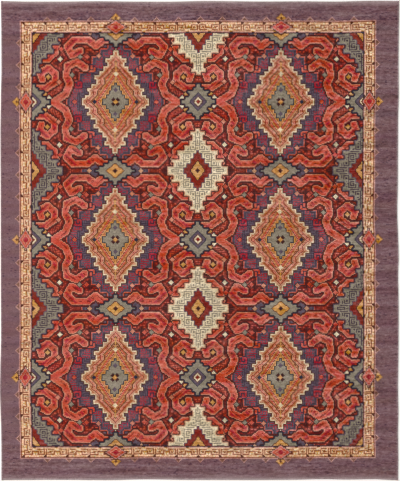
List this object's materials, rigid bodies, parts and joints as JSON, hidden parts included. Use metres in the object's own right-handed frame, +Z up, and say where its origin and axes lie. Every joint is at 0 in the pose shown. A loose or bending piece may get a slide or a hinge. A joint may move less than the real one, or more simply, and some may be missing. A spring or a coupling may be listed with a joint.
{
  "type": "art deco rug",
  "caption": "Room-size knotted wool rug lying flat, with a plain border, a narrow guard stripe, an all-over field and bound edges.",
  "frame": {"origin": "on the floor under the middle of the rug's box", "axes": "+X across the rug, +Y along its length towards the end at the top of the picture, +Z up out of the pile"},
  "size_m": [3.065, 3.6804, 0.01],
  "materials": {
    "wool_pile": "short cut wool pile in many dyed colours, matt, with a soft sheen and faint bands where dye lots change",
    "binding_yarn": "greyed mauve wool yarn wrapped closely over the edge, matt"
  },
  "bodies": {
    "root": {"rug": "wool_pile", "side_binding_left": "binding_yarn", "side_binding_right": "binding_yarn", "end_binding_top": "binding_yarn", "end_binding_bottom": "binding_yarn"}
  },
  "joints": []
}
